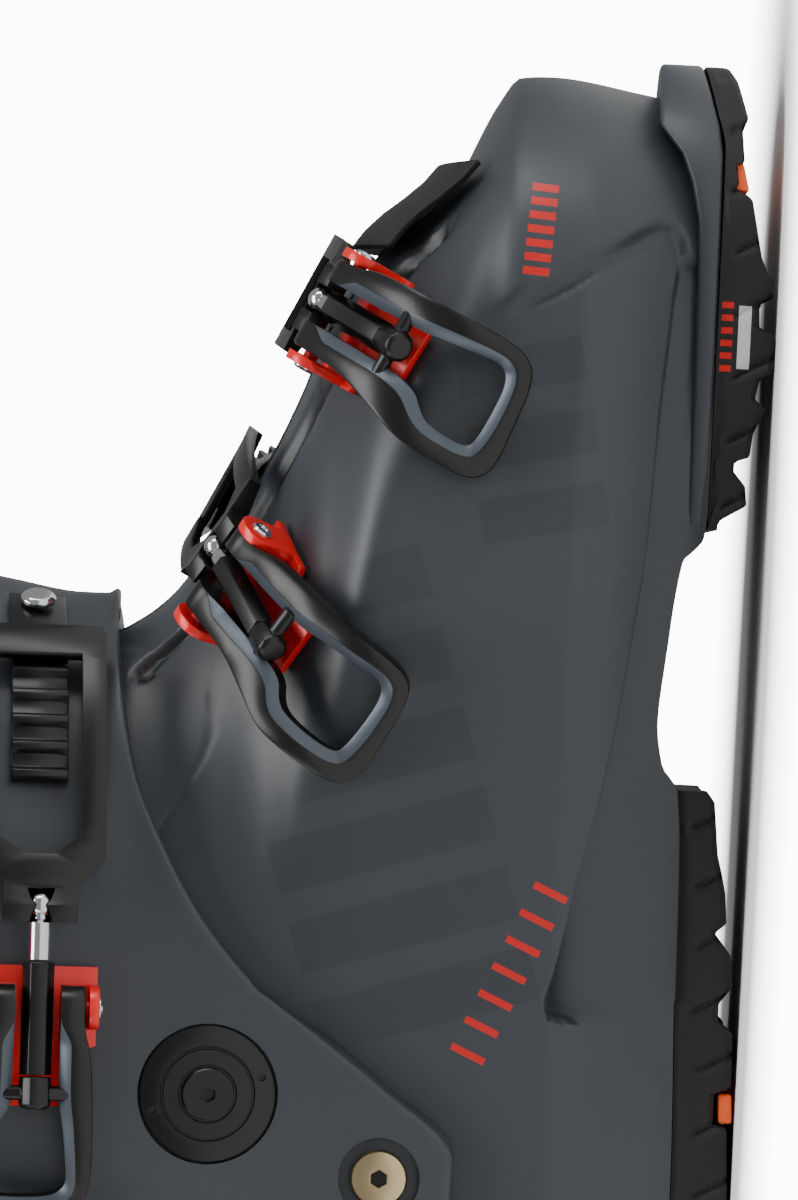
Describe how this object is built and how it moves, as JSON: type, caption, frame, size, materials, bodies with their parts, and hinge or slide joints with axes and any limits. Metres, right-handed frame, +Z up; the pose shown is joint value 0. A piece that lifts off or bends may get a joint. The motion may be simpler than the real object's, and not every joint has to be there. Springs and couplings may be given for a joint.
{
  "type": "alpine ski boot",
  "caption": "Right alpine ski boot with overlap shell, pivoting cuff, wire-and-claw buckles with fine adjusters, lugged rubber sole and soft liner.",
  "frame": {"origin": "on the ground, under the middle of the boot's bounding box", "axes": "+X towards the toe, +Y towards the inner side of the foot, +Z up"},
  "size_m": [0.3054, 0.132, 0.3464],
  "materials": {
    "shell": "satin moulded polyurethane",
    "cuff": "satin moulded polyurethane",
    "rubber": "matte moulded rubber",
    "orange": "satin moulded",
    "black": "satin, softly worn at the edges",
    "red": "satin coated",
    "chrome": "polished",
    "gold": "satin champagne",
    "liner": "soft woven",
    "webbing": "woven",
    "board": "moulded"
  },
  "bodies": {
    "shell": {"boot_board": "board", "heel_lug_plate": "shell", "heel_sole": "rubber", "heel_tread_insert": "orange", "instep_buckle_base": "red", "instep_buckle_ladder": "black", "instep_ladder_screw": "chrome", "lateral_pivot_bolt": "gold", "liner_foot": "liner", "lower_shell": "shell", "medial_pivot_bolt": "gold", "throat_seal": "rubber", "toe_buckle_base": "red", "toe_buckle_ladder": "black", "toe_ladder_screw": "chrome", "toe_lug_plate": "shell", "toe_sole": "rubber", "toe_tread_insert": "orange"},
    "cuff": {"cuff": "cuff", "lateral_cuff_disc": "black", "medial_cuff_disc": "black", "spine_blade": "black", "spoiler": "black", "lower_spine_bolt": "chrome", "upper_spine_bolt": "chrome", "liner_shaft": "liner", "liner_tongue": "liner", "pull_loop": "webbing", "power_strap": "webbing", "strap_cam": "black", "ankle_buckle_base": "red", "ankle_buckle_ladder": "black", "ankle_ladder_screw": "chrome", "shin_buckle_base": "red", "shin_buckle_ladder": "black", "shin_ladder_screw": "chrome"},
    "toe_lever": {"toe_buckle_lever": "black"},
    "toe_trunnion": {"toe_buckle_trunnion": "chrome"},
    "toe_barrel": {"toe_buckle_barrel": "black"},
    "toe_rod": {"toe_buckle_rod": "chrome"},
    "toe_claw": {"toe_buckle_claw": "black"},
    "instep_lever": {"instep_buckle_lever": "black"},
    "instep_trunnion": {"instep_buckle_trunnion": "chrome"},
    "instep_barrel": {"instep_buckle_barrel": "black"},
    "instep_rod": {"instep_buckle_rod": "chrome"},
    "instep_claw": {"instep_buckle_claw": "black"},
    "ankle_lever": {"ankle_buckle_lever": "black"},
    "ankle_trunnion": {"ankle_buckle_trunnion": "chrome"},
    "ankle_barrel": {"ankle_buckle_barrel": "black"},
    "ankle_rod": {"ankle_buckle_rod": "chrome"},
    "ankle_claw": {"ankle_buckle_claw": "black"},
    "shin_lever": {"shin_buckle_lever": "black"},
    "shin_trunnion": {"shin_buckle_trunnion": "chrome"},
    "shin_barrel": {"shin_buckle_barrel": "black"},
    "shin_rod": {"shin_buckle_rod": "chrome"},
    "shin_claw": {"shin_buckle_claw": "black"}
  },
  "joints": [
    {"name": "cuff_flex", "type": "hinge", "parent": "shell", "child": "cuff", "pos_m": [-0.08017, 0.00284, 0.0724], "axis": [0, 1, 0], "range_deg": [0, 4.5], "stiffness_Nm_per_rad": 120},
    {"name": "toe_lever_swing", "type": "hinge", "parent": "shell", "child": "toe_lever", "pos_m": [0.09632, -0.03571, 0.09065], "axis": [-0.8968, 0.0428, 0.4404], "range_deg": [0, 120]},
    {"name": "toe_trunnion_tilt", "type": "hinge", "parent": "toe_lever", "child": "toe_trunnion", "pos_m": [0.08984, -0.05518, 0.0782], "axis": [-0.8968, 0.0428, 0.4404], "range_deg": [-120, 0]},
    {"name": "toe_barrel_turn", "type": "hinge", "parent": "toe_trunnion", "child": "toe_barrel", "pos_m": [0.08984, -0.05518, 0.0782], "axis": [0.2632, 0.8516, 0.4533], "range_deg": [0, 620]},
    {"name": "toe_rod_slide", "type": "slide", "parent": "toe_trunnion", "child": "toe_rod", "axis": [0.2632, 0.8516, 0.4533], "range_m": [0, 0.0012]},
    {"name": "toe_claw_lift", "type": "hinge", "parent": "toe_rod", "child": "toe_claw", "pos_m": [0.09891, -0.02584, 0.09381], "axis": [0.8968, -0.0428, -0.4404], "range_deg": [0, 50]},
    {"name": "instep_lever_swing", "type": "hinge", "parent": "shell", "child": "instep_lever", "pos_m": [0.04064, -0.03628, 0.10995], "axis": [-0.7775, 0.3454, 0.5255], "range_deg": [0, 120]},
    {"name": "instep_trunnion_tilt", "type": "hinge", "parent": "instep_lever", "child": "instep_trunnion", "pos_m": [0.02815, -0.05141, 0.10046], "axis": [-0.7775, 0.3454, 0.5255], "range_deg": [-120, 0]},
    {"name": "instep_barrel_turn", "type": "hinge", "parent": "instep_trunnion", "child": "instep_barrel", "pos_m": [0.02815, -0.05141, 0.10046], "axis": [0.574, 0.7312, 0.3686], "range_deg": [0, 620]},
    {"name": "instep_rod_slide", "type": "slide", "parent": "instep_trunnion", "child": "instep_rod", "axis": [0.574, 0.7312, 0.3686], "range_m": [0, 0.0012]},
    {"name": "instep_claw_lift", "type": "hinge", "parent": "instep_rod", "child": "instep_claw", "pos_m": [0.04694, -0.02748, 0.11253], "axis": [0.7775, -0.3454, -0.5255], "range_deg": [0, 50]},
    {"name": "ankle_lever_swing", "type": "hinge", "parent": "cuff", "child": "ankle_lever", "pos_m": [-0.04797, -0.05655, 0.14374], "axis": [-0.0199, -0.0894, 0.9958], "range_deg": [0, 120]},
    {"name": "ankle_trunnion_tilt", "type": "hinge", "parent": "ankle_lever", "child": "ankle_trunnion", "pos_m": [-0.06546, -0.05667, 0.14288], "axis": [-0.0199, -0.0894, 0.9958], "range_deg": [-120, 0]},
    {"name": "ankle_barrel_turn", "type": "hinge", "parent": "ankle_trunnion", "child": "ankle_barrel", "pos_m": [-0.06546, -0.05667, 0.14288], "axis": [0.9996, 0.0196, 0.0218], "range_deg": [0, 620]},
    {"name": "ankle_rod_slide", "type": "slide", "parent": "ankle_trunnion", "child": "ankle_rod", "axis": [0.9996, 0.0196, 0.0218], "range_m": [0, 0.0012]},
    {"name": "ankle_claw_lift", "type": "hinge", "parent": "ankle_rod", "child": "ankle_claw", "pos_m": [-0.0273, -0.05592, 0.14371], "axis": [0.0199, 0.0894, -0.9958], "range_deg": [0, 50]},
    {"name": "shin_lever_swing", "type": "hinge", "parent": "cuff", "child": "shin_lever", "pos_m": [-0.03598, -0.06063, 0.19424], "axis": [0.0498, -0.0792, 0.9956], "range_deg": [0, 120]},
    {"name": "shin_trunnion_tilt", "type": "hinge", "parent": "shin_lever", "child": "shin_trunnion", "pos_m": [-0.05357, -0.06086, 0.1946], "axis": [0.0498, -0.0792, 0.9956], "range_deg": [-120, 0]},
    {"name": "shin_barrel_turn", "type": "hinge", "parent": "shin_trunnion", "child": "shin_barrel", "pos_m": [-0.05357, -0.06086, 0.1946], "axis": [0.9984, 0.0309, -0.0475], "range_deg": [0, 620]},
    {"name": "shin_rod_slide", "type": "slide", "parent": "shin_trunnion", "child": "shin_rod", "axis": [0.9984, 0.0309, -0.0475], "range_m": [0, 0.0012]},
    {"name": "shin_claw_lift", "type": "hinge", "parent": "shin_rod", "child": "shin_claw", "pos_m": [-0.01493, -0.05966, 0.19276], "axis": [-0.0498, 0.0792, -0.9956], "range_deg": [0, 50]}
  ],
  "couplings": [
    {"joint": "toe_trunnion_tilt", "follows": "toe_lever_swing", "ratio": -1},
    {"joint": "toe_barrel_turn", "follows": "toe_rod_slide", "rad_per_m": 8976},
    {"joint": "instep_trunnion_tilt", "follows": "instep_lever_swing", "ratio": -1},
    {"joint": "instep_barrel_turn", "follows": "instep_rod_slide", "rad_per_m": 8976},
    {"joint": "ankle_trunnion_tilt", "follows": "ankle_lever_swing", "ratio": -1},
    {"joint": "ankle_barrel_turn", "follows": "ankle_rod_slide", "rad_per_m": 8976},
    {"joint": "shin_trunnion_tilt", "follows": "shin_lever_swing", "ratio": -1},
    {"joint": "shin_barrel_turn", "follows": "shin_rod_slide", "rad_per_m": 8976}
  ]
}
